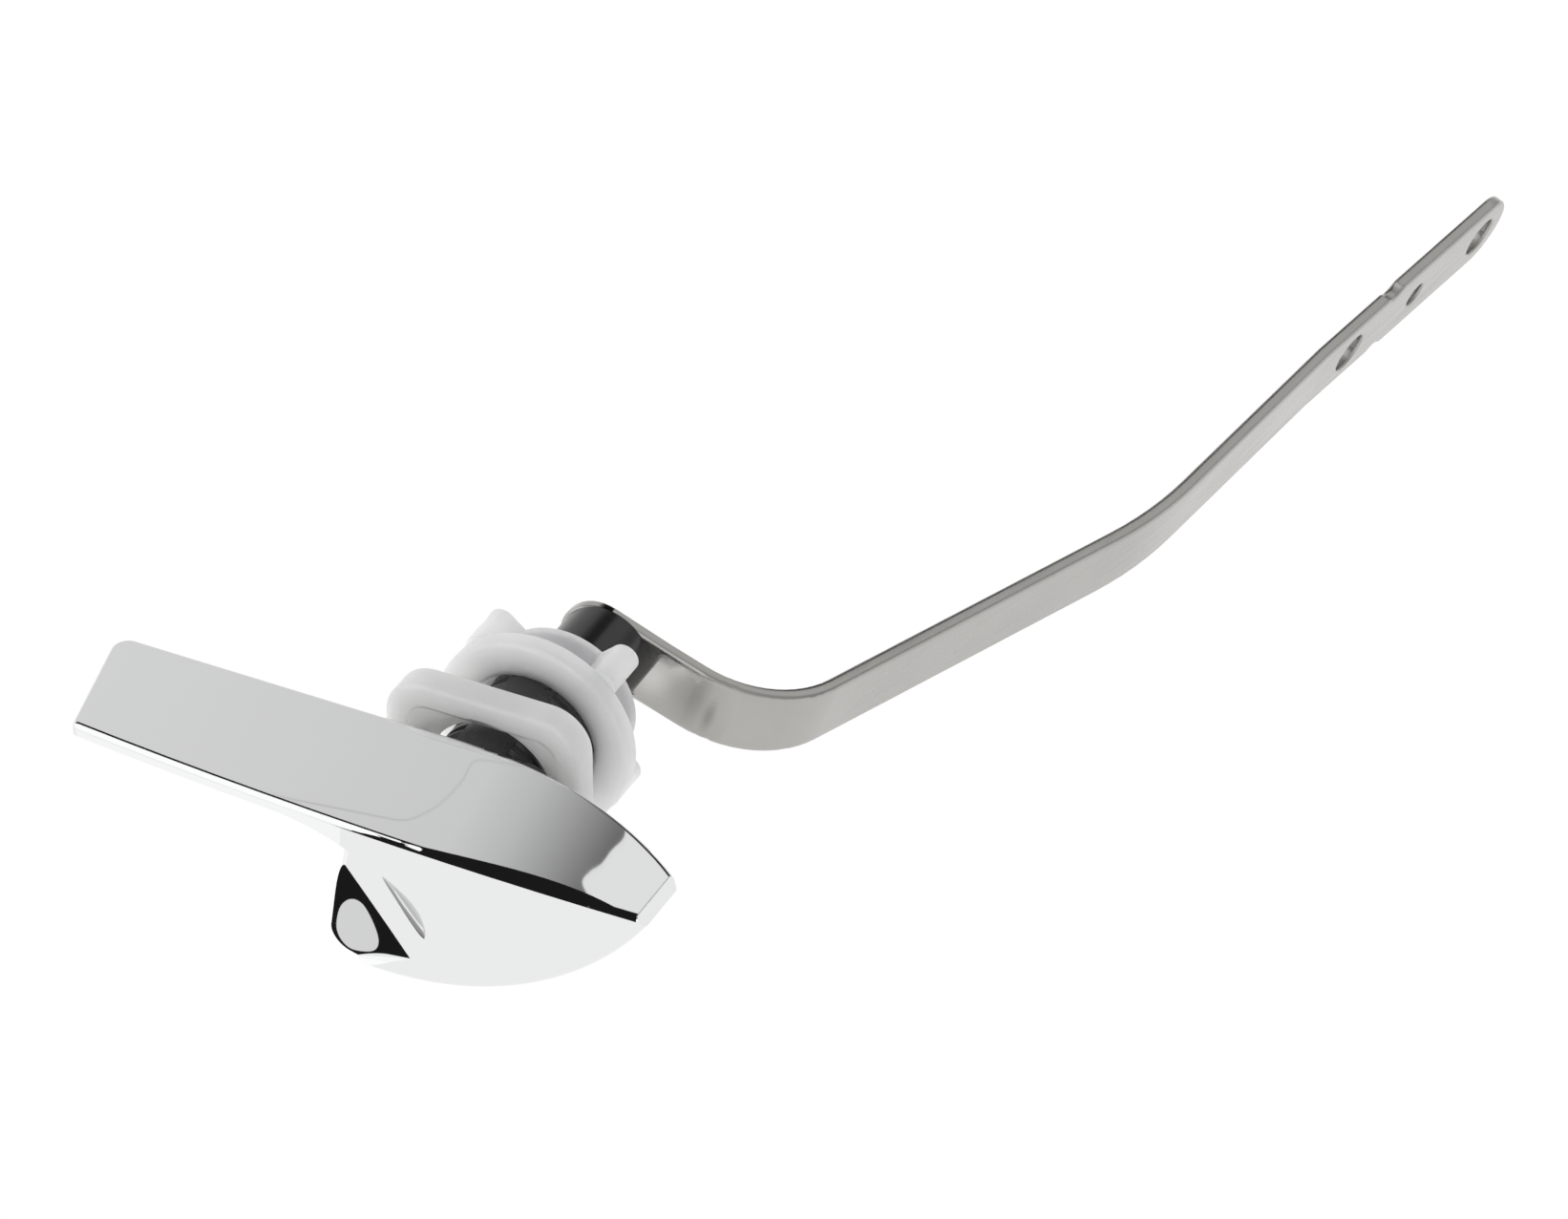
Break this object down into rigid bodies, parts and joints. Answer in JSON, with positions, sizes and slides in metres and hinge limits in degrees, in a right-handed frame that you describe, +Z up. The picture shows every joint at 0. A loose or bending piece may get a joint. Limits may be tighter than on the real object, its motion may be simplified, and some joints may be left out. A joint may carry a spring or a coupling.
{
  "type": "cistern lever",
  "caption": "Front-mounted cistern flush lever: chrome press handle on a threaded bush, with square washer, eared lock nut and a long bent steel arm drilled for the flush chain",
  "frame": {"origin": "On the pivot axis, where the square washer's rear face meets the outside of the tank wall", "axes": "+X right along the handle as the user faces it, +Y back through the tank wall, +Z up"},
  "size_m": [0.1139, 0.2452, 0.0408],
  "materials": {
    "chrome": "polished",
    "black_plastic": "gloss",
    "white_plastic": "translucent satin",
    "satin_steel": "satin",
    "spring_steel": "plain"
  },
  "bodies": {
    "bush": {"threaded_shank": "black_plastic", "square_washer": "white_plastic"},
    "lever": {"handle": "chrome", "spindle": "black_plastic", "retaining_clip": "spring_steel", "lever_arm": "satin_steel", "spring_washer": "spring_steel", "clamp_screw": "spring_steel"},
    "nut": {"mounting_nut": "white_plastic"}
  },
  "joints": [
    {"name": "lever_turn", "type": "hinge", "parent": "bush", "child": "lever", "pos_m": [0, 0, 0], "axis": [0, -1, 0], "range_deg": [0, 40]},
    {"name": "nut_travel", "type": "slide", "parent": "bush", "child": "nut", "axis": [0, 1, 0], "range_m": [-0.0094, 0.001]}
  ]
}
